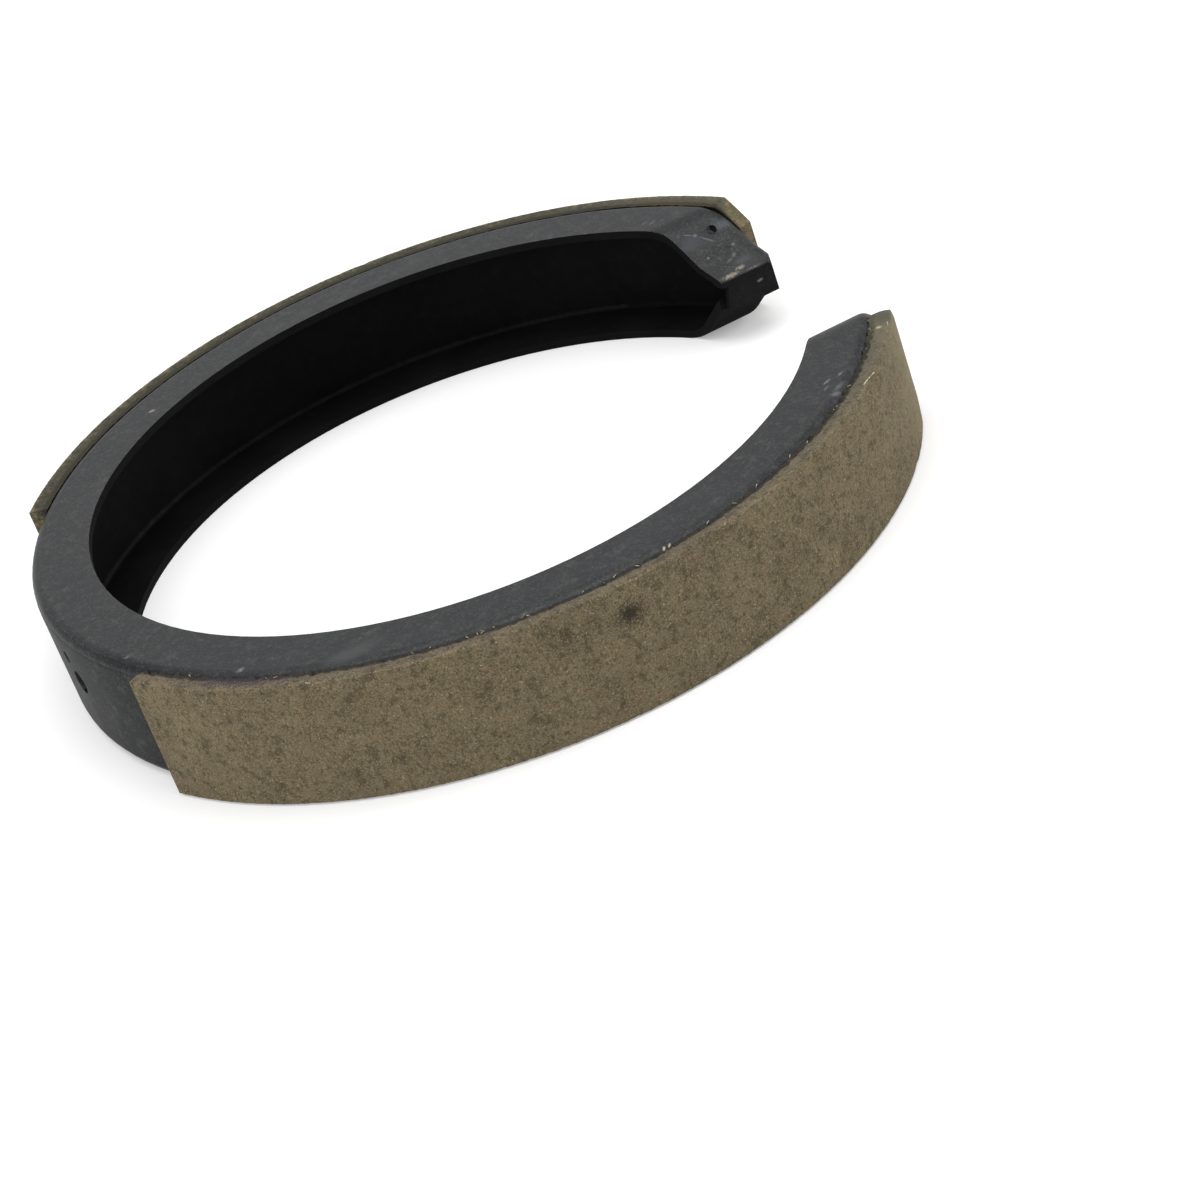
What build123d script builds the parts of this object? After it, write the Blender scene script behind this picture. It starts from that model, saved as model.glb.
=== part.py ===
"""Parking brake shoe for a small drum inside a rear disc's hat.

One C-shaped rim is pressed from a strip of sheet steel: a round wall with a
flange turned in at each side, so its section is a channel that opens towards
the drum's axis.  Both ends are joggled down to a narrow nose, and each nose is
closed by a tab that is folded over from the upper flange.  Two friction
linings are bonded to the wall, one on each arm.

The origin is on the drum's axis, midway between the flanges.  +Z runs along
that axis and +X runs through the middle of the shoe's opening.  Arm A is on
the +Y side of the opening and arm B is on the -Y side.  All sizes are in
millimetres and degrees.
"""

import os
from math import asin, atan2, cos, degrees, pi, radians, sin, sqrt, tan

from build123d import *

# ---- Rim section: an open channel with round corners --------------------
sheet = 2.0  # thickness of the strip
rim_radius = 100.7  # outer face of the wall, the seat of the linings
rim_width = 30.2  # over both flanges
flange_depth = 14.8  # from the wall's outer face to a flange's free edge
bend_radius = 1.2  # inside the bend from wall to flange

# ---- Ends: joggle, nose and folded tab ----------------------------------
seam_margin = 1.0  # degrees of plain channel in a pressed end, past its creases
opening_width = 50.8  # between the two end plates
nose_tip_height = 3.2  # nose's outer face above the mid-plane, at the fold
nose_foot_height = 6.3  # the same at the foot of the joggle
plate_drop = 5.0  # end plate's lower edge below the mid-plane
plate_setback = 6.0  # from the wall's outermost point to the plate, along X
plate_width = 13.7  # end plate, along X
plate_slant = 1.4  # how far the trimmed inner edge leans in towards the fold
crease_radius = 10.0  # inside the soft bend where a flange turns into a joggle
press_radius = 2.0  # inside the sharper bend at the joggle's foot
fold_radius = 1.7  # outside the fold between nose and plate
flange_gap = 1.0  # from the plate to the end of the lower flange
wall_gap = 2.7  # from the plate to the end of the wall
nose_a = 6.0  # from arm A's plate to the foot of its upper joggle
joggle_a = 9.2  # from the joggle's foot to its crease, across the opening
lower_joggle_a = 13.0  # from the plate to the crease of the lower joggle
nose_b = 7.2  # the same three on arm B
joggle_b = 9.9
lower_joggle_b = 14.4
punch_radius = 1.5  # round punch that leaves a mark on arm A's joggle
punch_depth = 0.7
punch_setback = 14.2  # from the wall's outermost point, along X
punch_from_foot = 5.6  # from the joggle's foot

# ---- Holes in the wall, between the linings ------------------------------
clip_hole_diameter = 5.6
clip_hole_angle = 187.5
clip_hole_height = 1.7
pilot_hole_diameter = 3.0
pilot_hole_angle = 185.7
pilot_hole_height = 7.2

# ---- Friction linings -----------------------------------------------------
lining_thickness = 3.8
lining_width = 29.4
lining_a_setback = 11.8  # from the end plate to the lining's near end
lining_a_heel_angle = 150.2  # square end, across from the opening
lining_a_clip = 6.2  # 45 degree cut at the two corners of the nose end
lining_b_setback = 16.8
lining_b_heel_angle = -152.6
lining_b_clip = 4.4

# ---- Sizes that follow ----------------------------------------------------
half_width = rim_width / 2
half_space = half_width - sheet
space_radius = rim_radius - sheet
flange_radius = rim_radius - flange_depth
tip = opening_width / 2
plate_outer = rim_radius - plate_setback
plate_inner = plate_outer - plate_width
foot_a = tip + nose_a
crease_a = foot_a + joggle_a
lower_crease_a = tip + lower_joggle_a
foot_b = tip + nose_b
crease_b = foot_b + joggle_b
lower_crease_b = tip + lower_joggle_b
plate_back = tip + sheet
wall_end = plate_back + wall_gap
flange_end = plate_back + flange_gap
far = rim_radius + 10  # beyond the rim on every side
same_place = 0.05  # an edge this close to a point is the edge that the point names
lining_a_nose_angle = degrees(asin((tip + lining_a_setback) / rim_radius))
lining_b_nose_angle = -degrees(asin((tip + lining_b_setback) / rim_radius))


def joggle_angles(crease, foot):
    """Slopes of the upper joggle's ramp and of the nose behind it, in radians."""
    ramp = atan2(half_width - nose_foot_height, crease - foot)
    nose = atan2(nose_foot_height - nose_tip_height, foot - tip)
    return ramp, nose


def crease_end(crease, foot):
    """Angle where one end's crease has run out on the flange's free edge."""
    ramp = joggle_angles(crease, foot)[0]
    reach = (crease_radius + sheet) * tan(ramp / 2)
    return degrees(asin((crease + reach) / flange_radius))


def upper_outside(crease, foot):
    """Outer face of one end in the YZ plane: crease, foot and fold."""
    return [(crease, half_width), (foot, nose_foot_height), (tip, nose_tip_height)]


def nose_floor(crease, foot, y):
    """Height of the nose's inner face at y."""
    nose = joggle_angles(crease, foot)[1]
    return nose_foot_height - (foot - y) * tan(nose) - sheet / cos(nose)


def upper_inside(crease, foot):
    """Inner face of one end in the YZ plane, one sheet under the outer face."""
    ramp, nose = joggle_angles(crease, foot)
    mean = (ramp + nose) / 2
    reach = sheet / cos((ramp - nose) / 2)
    return [
        (crease + sheet * tan(ramp / 2), half_space),
        (foot + reach * sin(mean), nose_foot_height - reach * cos(mean)),
        (flange_end, nose_floor(crease, foot, flange_end)),
    ]


def lower_ramp(crease):
    """Slope of the lower joggle, which runs down to the flange's end, in radians."""
    return atan2(half_width - plate_drop, crease - flange_end)


def lower_outside(crease):
    """Depth of the lower flange's outer face and of the plate's lower edge."""
    return [(crease, half_width), (flange_end, plate_drop), (tip, plate_drop)]


def lower_inside(crease):
    """Depth of the lower flange's inner face."""
    ramp = lower_ramp(crease)
    return [
        (crease + sheet * tan(ramp / 2), half_space),
        (flange_end, plate_drop - sheet / cos(ramp)),
    ]


def beyond(profile, side, arm):
    """Outline in the YZ plane of what lies outside a profile.

    side is 1 over the shoe and -1 under it; arm is 1 for arm A and -1 for arm B.
    """
    last_y, last_z = profile[-1]
    outline = profile + [(0, last_z), (0, far), (profile[0][0], far)]
    return [(arm * y, side * z) for y, z in outline]


def along_x(edges, point, side, arm):
    """The straight edges along X through a profile's (y, z) point."""
    y, z = arm * point[0], side * point[1]
    return [
        edge
        for edge in edges.filter_by(GeomType.LINE).filter_by(Axis.X)
        if (edge.center() - Vector(edge.center().X, y, z)).length < same_place
    ]


def round_sides(faces):
    """The edges that run round the sides of the widest cylindrical wall."""
    wall = faces.filter_by(GeomType.CYLINDER).sort_by(SortBy.AREA)[-1]
    return wall.edges().filter_by(Axis.Z, reverse=True)


def facing_out(angle, radius, height=0.0):
    """Plane at a point of a round wall, looking out from the drum's axis.

    Its X runs round the drum with the angle and its Y runs up.
    """
    turn = radians(angle)
    return Plane(
        origin=(radius * cos(turn), radius * sin(turn), height),
        x_dir=(-sin(turn), cos(turn), 0),
        z_dir=(cos(turn), sin(turn), 0),
    )


def radial(angle):
    """Plane that holds the drum's axis; its X runs outwards and its Y up."""
    turn = radians(angle)
    return Plane(
        origin=(0, 0, 0),
        x_dir=(cos(turn), sin(turn), 0),
        z_dir=(sin(turn), -cos(turn), 0),
    )


def clipped_corner(clip, side):
    """What is cut from a lining's upper corner, seen from outside the drum.

    The lining lies on the side of its end that the sign of side says.
    """
    edge = lining_width / 2
    outline = [
        (-clip, edge - clip),
        (0, edge - clip),
        (clip, edge),
        (clip, edge + clip),
        (-clip, edge + clip),
    ]
    return [(side * x, z) for x, z in outline]


def on_circle(radius, angle):
    """Point of a circle about the drum's axis, in plan."""
    return radius * cos(radians(angle)), radius * sin(radians(angle))


def plan_arc(radius, start, end):
    """Arc about the drum's axis from one angle to another, in plan."""
    middle = (start + end) / 2
    return ThreePointArc(
        on_circle(radius, start), on_circle(radius, middle), on_circle(radius, end)
    )


def bend_points(radius, height, bend, flats):
    """Points of a bend of the section, drawn as equal narrow flats.

    It runs from a flange's face at this height to the wall's face at this radius.
    """
    turns = [pi / 2 * step / flats for step in range(flats + 1)]
    return [
        (radius - bend + bend * sin(turn), height - bend + bend * cos(turn))
        for turn in turns
    ]


def waste(profile, side, arm):
    """Sketch of what lies over an upper profile, or under a lower one."""
    with BuildSketch(Plane.YZ) as sketch:
        with BuildLine():
            Polyline(*beyond(profile, side, arm), close=True)
        make_face()
    return sketch.sketch


def space_in_end(arm, crease, foot, lower_crease):
    """The channel's space in one end, out past the flanges' free edges."""
    over, under = upper_inside(crease, foot), lower_inside(lower_crease)
    first = degrees(asin(flange_end / space_radius))
    reach = flange_radius - flange_depth
    with BuildPart() as space:
        with BuildSketch(Plane.XY.offset(-half_space)):
            with BuildLine():
                plan_arc(space_radius, arm * first, arm * seam_angle)
                Polyline(
                    on_circle(space_radius, arm * seam_angle),
                    on_circle(reach, arm * seam_angle),
                    (reach, arm * flange_end),
                    on_circle(space_radius, arm * first),
                )
            make_face()
        extrude(amount=2 * half_space)
        extrude(waste(over, 1, arm), amount=far, mode=Mode.SUBTRACT)
        extrude(waste(under, -1, arm), amount=far, mode=Mode.SUBTRACT)
        fillet(along_x(space.edges(), over[0], 1, arm), crease_radius)
        fillet(along_x(space.edges(), over[1], 1, arm), press_radius + sheet)
        fillet(along_x(space.edges(), under[0], -1, arm), crease_radius)
        fillet(round_sides(space.faces()), bend_radius)
    return space.part


def pressed_end(arm, crease, foot, lower_crease):
    """One end of the rim: joggles, nose and folded tab."""
    over, under = upper_outside(crease, foot), lower_outside(lower_crease)
    space = space_in_end(arm, crease, foot, lower_crease)
    tip_angle = degrees(asin(tip / rim_radius))
    knee_angle = degrees(asin(crease / flange_radius))
    wall_x = sqrt(rim_radius**2 - wall_end**2)
    with BuildPart() as end:
        with BuildSketch(Plane.XY.offset(-half_width)):
            with BuildLine():
                plan_arc(rim_radius, arm * tip_angle, arm * seam_angle)
                Line(
                    on_circle(rim_radius, arm * seam_angle),
                    on_circle(flange_radius, arm * seam_angle),
                )
                plan_arc(flange_radius, arm * seam_angle, arm * knee_angle)
                Polyline(
                    on_circle(flange_radius, arm * knee_angle),
                    (plate_inner, arm * tip),
                    on_circle(rim_radius, arm * tip_angle),
                )
            make_face()
        extrude(amount=rim_width)
        extrude(waste(over, 1, arm), amount=far, mode=Mode.SUBTRACT)
        extrude(waste(under, -1, arm), amount=far, mode=Mode.SUBTRACT)
        fillet(along_x(end.edges(), over[0], 1, arm), crease_radius + sheet)
        fillet(along_x(end.edges(), over[1], 1, arm), press_radius)
        fillet(along_x(end.edges(), under[0], -1, arm), crease_radius + sheet)
        fillet(along_x(end.edges(), under[1], -1, arm), press_radius)
        fillet(round_sides(end.faces()), bend_radius + sheet)
        # From the wall's end to the plate the corner runs straight.
        with BuildSketch(Plane.XY.offset(-half_width)):
            with BuildLine():
                Polyline(
                    (wall_x, arm * wall_end),
                    (plate_outer, arm * tip),
                    (far, arm * tip),
                    (far, arm * wall_end),
                    close=True,
                )
            make_face()
        extrude(amount=rim_width, mode=Mode.SUBTRACT)
        fillet(along_x(end.edges(), (tip, nose_tip_height), 1, arm), fold_radius)
        add(space, mode=Mode.SUBTRACT)
        # Behind the plate the wall and the lower flange stop short, so the plate
        # hangs from its fold alone.
        slope = (wall_gap - flange_gap) / (wall_x - plate_inner)
        with BuildSketch(Plane.XY.offset(nose_floor(crease, foot, plate_back))):
            with BuildLine():
                Polyline(
                    (0, arm * plate_back),
                    (far, arm * plate_back),
                    (far, arm * (wall_end + slope * (far - wall_x))),
                    (plate_inner, arm * flange_end),
                    (0, arm * flange_end),
                    close=True,
                )
            make_face()
        extrude(amount=-far, mode=Mode.SUBTRACT)
        # The plate's inner edge is trimmed back towards the fold.
        rise = nose_tip_height - fold_radius
        with BuildSketch(Plane.XZ):
            with BuildLine():
                Polyline(
                    (0, -plate_drop),
                    (plate_inner, -plate_drop),
                    (plate_inner + plate_slant, rise),
                    (0, rise),
                    close=True,
                )
            make_face()
        extrude(amount=-arm * (plate_back + flange_gap / 2), mode=Mode.SUBTRACT)
    return end.part


# The plain channel gives way to the pressed ends at the same angle on both arms.
seam_angle = seam_margin + max(
    crease_end(crease_a, foot_a), crease_end(crease_b, foot_b)
)

end_a = pressed_end(1, crease_a, foot_a, lower_crease_a)
end_b = pressed_end(-1, crease_b, foot_b, lower_crease_b)

# The rim: the channel's section turned about the drum's axis from seam to seam,
# the two pressed ends, and the holes.
with BuildPart() as shoe_rim:
    with BuildSketch(radial(seam_angle)):
        with BuildLine():
            outside = bend_points(rim_radius, half_width, bend_radius + sheet, flats=5)
            inside = bend_points(space_radius, half_space, bend_radius, flats=3)
            half = [*inside[::-1], (flange_radius, half_space)]
            half += [(flange_radius, half_width), *outside]
            Polyline(*half, *[(r, -z) for r, z in half[::-1]], close=True)
        make_face()
    revolve(axis=Axis.Z, revolution_arc=360 - 2 * seam_angle)
    add([end_a, end_b])
    with Locations(
        facing_out(clip_hole_angle, rim_radius + sheet, clip_hole_height),
    ):
        Hole(clip_hole_diameter / 2, depth=3 * sheet)
    with Locations(
        facing_out(pilot_hole_angle, rim_radius + sheet, pilot_hole_height),
    ):
        Hole(pilot_hole_diameter / 2, depth=3 * sheet)
    # The mark of a round punch on arm A's joggle.
    ramp = joggle_angles(crease_a, foot_a)[0]
    lift = punch_radius - punch_depth
    with Locations(
        (
            rim_radius - punch_setback,
            foot_a + punch_from_foot - lift * sin(ramp),
            nose_foot_height + punch_from_foot * tan(ramp) + lift * cos(ramp),
        )
    ):
        Sphere(punch_radius, mode=Mode.SUBTRACT)

shoe_rim.part.label = "shoe_rim"

# Each lining is a curved bar of friction material on the wall.  Its end at the
# opening has its two corners cut at 45 degrees, and its other end is square.
with BuildPart() as lining_a:
    with BuildSketch(radial(lining_a_nose_angle)):
        with Locations((rim_radius + lining_thickness / 2, 0)):
            Rectangle(lining_thickness, lining_width)
    revolve(
        axis=Axis.Z, revolution_arc=lining_a_heel_angle - lining_a_nose_angle
    )
    with BuildSketch(facing_out(lining_a_nose_angle, 0)):
        with BuildLine():
            Polyline(*clipped_corner(lining_a_clip, 1), close=True)
        make_face()
        mirror(about=Plane.XZ)
    extrude(amount=far, mode=Mode.SUBTRACT)

with BuildPart() as lining_b:
    with BuildSketch(radial(lining_b_heel_angle)):
        with Locations((rim_radius + lining_thickness / 2, 0)):
            Rectangle(lining_thickness, lining_width)
    revolve(
        axis=Axis.Z, revolution_arc=lining_b_nose_angle - lining_b_heel_angle
    )
    with BuildSketch(facing_out(lining_b_nose_angle, 0)):
        with BuildLine():
            Polyline(*clipped_corner(lining_b_clip, -1), close=True)
        make_face()
        mirror(about=Plane.XZ)
    extrude(amount=far, mode=Mode.SUBTRACT)

lining_a.part.label = "lining_a"
lining_b.part.label = "lining_b"

os.makedirs("parts", exist_ok=True)
export_step(shoe_rim.part, "parts/shoe_rim.step")
export_step(lining_a.part, "parts/lining_a.step")
export_step(lining_b.part, "parts/lining_b.step")
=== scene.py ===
"""Parking brake shoe: a painted steel rim, two bonded friction linings and a studio."""

import logging
import math
import random
from dataclasses import dataclass
from enum import IntEnum

import bmesh
import bpy
from mathutils import Matrix, Vector, noise


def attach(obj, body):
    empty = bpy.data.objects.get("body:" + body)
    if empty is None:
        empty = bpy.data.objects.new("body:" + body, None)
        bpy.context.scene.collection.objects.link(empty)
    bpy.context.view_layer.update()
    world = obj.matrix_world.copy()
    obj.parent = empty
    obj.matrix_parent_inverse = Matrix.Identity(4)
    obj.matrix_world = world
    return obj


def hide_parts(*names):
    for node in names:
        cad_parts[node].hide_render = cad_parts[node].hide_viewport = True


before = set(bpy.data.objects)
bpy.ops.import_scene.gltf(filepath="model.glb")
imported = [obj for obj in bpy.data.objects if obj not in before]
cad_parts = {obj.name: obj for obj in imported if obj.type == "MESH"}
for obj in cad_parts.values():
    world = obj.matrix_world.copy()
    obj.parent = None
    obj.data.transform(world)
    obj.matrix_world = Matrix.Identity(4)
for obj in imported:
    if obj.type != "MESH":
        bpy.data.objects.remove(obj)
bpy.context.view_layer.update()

log = logging.getLogger("brake_shoe")

MM = 0.001
# Sizes that the pieces share, in millimetres.
WALL_RADIUS = 100.7
FACE_RADIUS = 104.5
RIM_HALF_WIDTH = 15.1
LINING_WIDTH = 29.4

Colour = tuple[float, float, float, float]
Place = tuple[float, float, float]
Pair = tuple[float, float]
NodeTree = bpy.types.NodeTree
Socket = bpy.types.NodeSocket
Material = bpy.types.Material
Thing = bpy.types.Object
Shape = bmesh.types.BMesh


def srgb(code: str) -> Colour:
    """Turn an sRGB hex colour to linear.

    Args:
        code: six hex digits after a hash sign.

    Returns:
        Linear red, green and blue, and an alpha of 1.
    """
    parts = [int(code[i : i + 2], 16) / 255 for i in (1, 3, 5)]
    linear = [part / 12.92 if part <= 0.04045 else ((part + 0.055) / 1.055) ** 2.4 for part in parts]
    return (*linear, 1.0)


def add_node(
    tree: NodeTree, kind: str, sockets: dict[str | int, object] | None = None, **settings: object
) -> bpy.types.Node:
    """Add a node with its settings and links.

    Args:
        tree: the node tree that the node joins.
        kind: Blender's name of the node's type.
        sockets: for each input, its value or the socket that feeds it.
        **settings: properties of the node itself.

    Returns:
        The new node.
    """
    node = tree.nodes.new(kind)
    for name, value in settings.items():
        setattr(node, name, value)
    for name, value in (sockets or {}).items():
        if isinstance(value, Socket):
            tree.links.new(value, node.inputs[name])
        else:
            node.inputs[name].default_value = value
    return node


def new_surface(name: str, refraction: float, gloss: float) -> tuple[Material, NodeTree, bpy.types.Node]:
    """Start a material with one principled shader.

    Args:
        name: the material's name.
        refraction: its index of refraction.
        gloss: level of its mirror-like reflection.

    Returns:
        The material, its node tree and its shader.
    """
    material = bpy.data.materials.new(name)
    material.use_nodes = True
    tree = material.node_tree
    shader = tree.nodes["Principled BSDF"]
    shader.inputs["IOR"].default_value = refraction
    shader.inputs["Specular IOR Level"].default_value = gloss
    return material, tree, shader


@dataclass(frozen=True)
class Layer:
    """A colour that shows where a pattern passes from one value to another.

    Attributes:
        colour: its hex colour.
        none: the pattern's value where none of it shows.
        full: the pattern's value where it shows fully.
        strength: how far it covers what is below, from 0 to 1.
    """

    colour: str
    none: float
    full: float
    strength: float = 1.0

    def lay(self, tree: NodeTree, pattern: Socket, under: Socket | Colour) -> Socket:
        """Lay the colour over another.

        Args:
            tree: the node tree.
            pattern: the value that decides where it shows.
            under: the colour below.

        Returns:
            The new colour's socket.
        """
        mask = add_node(
            tree,
            "ShaderNodeMapRange",
            {"Value": pattern, "From Min": self.none, "From Max": self.full, "To Max": self.strength},
            interpolation_type="SMOOTHSTEP",
        )
        return add_node(
            tree,
            "ShaderNodeMix",
            {0: mask.outputs["Result"], 6: under, 7: srgb(self.colour)},
            data_type="RGBA",
        ).outputs[2]


@dataclass(frozen=True)
class Spot:
    """A soft-edged mark at one place on a surface.

    Sizes are in millimetres and turns in radians.

    Attributes:
        place: its middle.
        reach: its half sizes along its own X, Y and Z.
        colour: its hex colour.
        strength: how far it covers what is below, from 0 to 1.
        breakup: how much noise eats into it.
        turn: its rotation about X, Y and Z.
    """

    place: Place
    reach: Place
    colour: str
    strength: float = 1.0
    breakup: float = 0.6
    turn: Place = (0.0, 0.0, 0.0)

    @classmethod
    def stroke(
        cls,
        start: Place,
        end: Place,
        width: float,
        colour: str,
        strength: float = 1.0,
        breakup: float = 0.6,
    ) -> "Spot":
        """Make a thin mark that runs from one point to another.

        Args:
            start: one end.
            end: the other end.
            width: its width.
            colour: its hex colour.
            strength: how far it covers what is below.
            breakup: how much noise eats into it.

        Returns:
            The mark.
        """
        line = Vector(end) - Vector(start)
        middle = (Vector(start) + Vector(end)) / 2
        turn = line.to_track_quat("X", "Z").to_euler()
        reach = (line.length / 2, width / 2, width / 2)
        return cls(tuple(middle), reach, colour, strength, breakup, tuple(turn))

    def lay(self, tree: NodeTree, point: Socket, rough: Socket, under: Socket) -> Socket:
        """Lay the mark over a colour.

        Args:
            tree: the node tree.
            point: the surface point in millimetres.
            rough: noise about 0.5 that breaks the mark's edge.
            under: the colour below.

        Returns:
            The new colour's socket.
        """
        near = add_node(
            tree,
            "ShaderNodeMapping",
            {"Vector": point, "Location": self.place, "Rotation": self.turn, "Scale": self.reach},
            vector_type="TEXTURE",
        )
        far = add_node(tree, "ShaderNodeVectorMath", {0: near.outputs["Vector"]}, operation="LENGTH")
        ragged = add_node(
            tree,
            "ShaderNodeMath",
            {0: rough, 1: 2 * self.breakup, 2: far.outputs["Value"]},
            operation="MULTIPLY_ADD",
        )
        edge = Layer(
            self.colour, none=1.0 + self.breakup, full=0.15 + self.breakup, strength=self.strength
        )
        return edge.lay(tree, ragged.outputs["Value"], under)


@dataclass(frozen=True)
class Flecks:
    """Small bits of one colour, scattered through a surface.

    Sizes are in millimetres and turns in radians.

    Attributes:
        colour: their hex colour.
        size: width of one.
        spacing: distance from one possible place to the next.
        share: how many of those places hold one, from 0 to 1.
        strength: how far one covers what is below, from 0 to 1.
        length: how many times longer than wide one is.
        turn: rotation of their length about X, Y and Z.
    """

    colour: str
    size: float
    spacing: float
    share: float
    strength: float = 0.7
    length: float = 1.0
    turn: Place = (0.0, 0.0, 0.0)

    def lay(self, tree: NodeTree, point: Socket, under: Socket) -> Socket:
        """Scatter the bits over a colour.

        Args:
            tree: the node tree.
            point: the surface point in millimetres.
            under: the colour below.

        Returns:
            The new colour's socket.
        """
        lengthened = add_node(
            tree,
            "ShaderNodeMapping",
            {"Vector": point, "Rotation": self.turn, "Scale": (self.length, 1.0, 1.0)},
            vector_type="TEXTURE",
        )
        cells = add_node(
            tree,
            "ShaderNodeTexVoronoi",
            {"Vector": lengthened.outputs["Vector"], "Scale": 1 / self.spacing},
        )
        pick = add_node(tree, "ShaderNodeSeparateColor", {"Color": cells.outputs["Color"]})
        # Where a cell holds none, its distance is pushed out of reach.
        empty = add_node(
            tree,
            "ShaderNodeMath",
            {0: pick.outputs["Red"], 1: self.share},
            operation="GREATER_THAN",
        )
        distance = add_node(
            tree,
            "ShaderNodeMath",
            {0: cells.outputs["Distance"], 1: empty.outputs["Value"]},
            operation="ADD",
        )
        radius = self.size / 2 / self.spacing
        bit = Layer(self.colour, none=1.25 * radius, full=0.6 * radius, strength=self.strength)
        return bit.lay(tree, distance.outputs["Value"], under)


def object_point(tree: NodeTree) -> Socket:
    """Give a material its surface point in the object's frame.

    Args:
        tree: the material's node tree.

    Returns:
        The point's socket, in millimetres.
    """
    place = tree.nodes.new("ShaderNodeTexCoord").outputs["Object"]
    return add_node(
        tree, "ShaderNodeMapping", {"Vector": place, "Scale": (1 / MM, 1 / MM, 1 / MM)}
    ).outputs["Vector"]


@dataclass(frozen=True)
class BlackPaint:
    """Black electrophoretic paint on pressed steel, baked to a satin film.

    A thin even film: a near-black body and a soft wide highlight that greys it,
    with light dust, and rubs where shoes knock together in a box.

    Attributes:
        name: the material's name.
        colour: hex colour of the film.
        worn_colour: hex colour where it is thinner or handled.
        dust_colour: hex colour of dust and fine rubs.
        gloss: level of its mirror-like reflection.
        roughness: where the film is sound.
        dull_roughness: where it is handled.
        dust: how strongly dust and rubs show, from 0 to 1.
        marks: rubs, chips, pale tan places, and spots of painted shade, highlight and sheen.
    """

    name: str = "satin_black_ecoat"
    colour: str = "#151618"
    worn_colour: str = "#252627"
    dust_colour: str = "#8d8c89"
    gloss: float = 0.36
    roughness: float = 0.42
    dull_roughness: float = 0.55
    dust: float = 0.5
    marks: tuple[Spot, ...] = ()

    def build(self) -> Material:
        """Make the paint's material.

        Returns:
            The material.
        """
        material, tree, shader = new_surface(self.name, refraction=1.5, gloss=self.gloss)
        point = object_point(tree)
        # Clouds of a finger's breadth where the film is thinner or handled, orange peel
        # of the baked film, and haze of fine dust in patches of 2 to 4 mm.
        clouds, peel, haze = (
            add_node(
                tree,
                "ShaderNodeTexNoise",
                {"Vector": point, "Scale": 1 / size, "Detail": detail, "Roughness": mix},
            ).outputs["Fac"]
            for size, detail, mix in ((16.0, 5.0, 0.65), (0.55, 3.0, 0.6), (3.0, 4.0, 0.65))
        )
        # Rubs, 0.45 mm wide and 6 mm long, that lie one way.
        strokes = add_node(
            tree,
            "ShaderNodeMapping",
            {"Vector": point, "Rotation": (0.0, 0.0, 0.7), "Scale": (6.0, 0.45, 1.0)},
            vector_type="TEXTURE",
        )
        rubs = add_node(
            tree,
            "ShaderNodeTexNoise",
            {"Vector": strokes.outputs["Vector"], "Scale": 1.0, "Detail": 2.0},
        ).outputs["Fac"]
        colour = srgb(self.colour)
        for pattern, layer in (
            (clouds, Layer(self.worn_colour, none=0.4, full=0.7)),
            (haze, Layer(self.worn_colour, none=0.48, full=0.7, strength=0.9)),
            (peel, Layer(self.dust_colour, 0.46, 0.8, strength=0.34 * self.dust)),
            (haze, Layer(self.dust_colour, 0.5, 0.85, strength=0.2 * self.dust)),
            (rubs, Layer(self.dust_colour, 0.68, 0.9, strength=0.1 * self.dust)),
        ):
            colour = layer.lay(tree, pattern, colour)
        dots = Flecks(self.dust_colour, size=0.3, spacing=2.4, share=0.04 * self.dust, strength=0.5)
        colour = dots.lay(tree, point, colour)
        for mark in self.marks:
            colour = mark.lay(tree, point, peel, colour)
        tree.links.new(colour, shader.inputs["Base Color"])
        dullness = add_node(
            tree,
            "ShaderNodeMapRange",
            {
                "Value": clouds,
                "From Min": 0.35,
                "From Max": 0.7,
                "To Min": self.roughness,
                "To Max": self.dull_roughness,
            },
        )
        tree.links.new(dullness.outputs["Result"], shader.inputs["Roughness"])
        bump = add_node(tree, "ShaderNodeBump", {"Height": peel, "Strength": 0.3, "Distance": 0.02 * MM})
        tree.links.new(bump.outputs["Normal"], shader.inputs["Normal"])
        return material


@dataclass(frozen=True)
class Palette:
    """The hex colours of a friction lining's body, filler, resin and crumbs."""

    body: str
    light: str
    dark: str
    crumb: str
    speck: str


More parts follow.
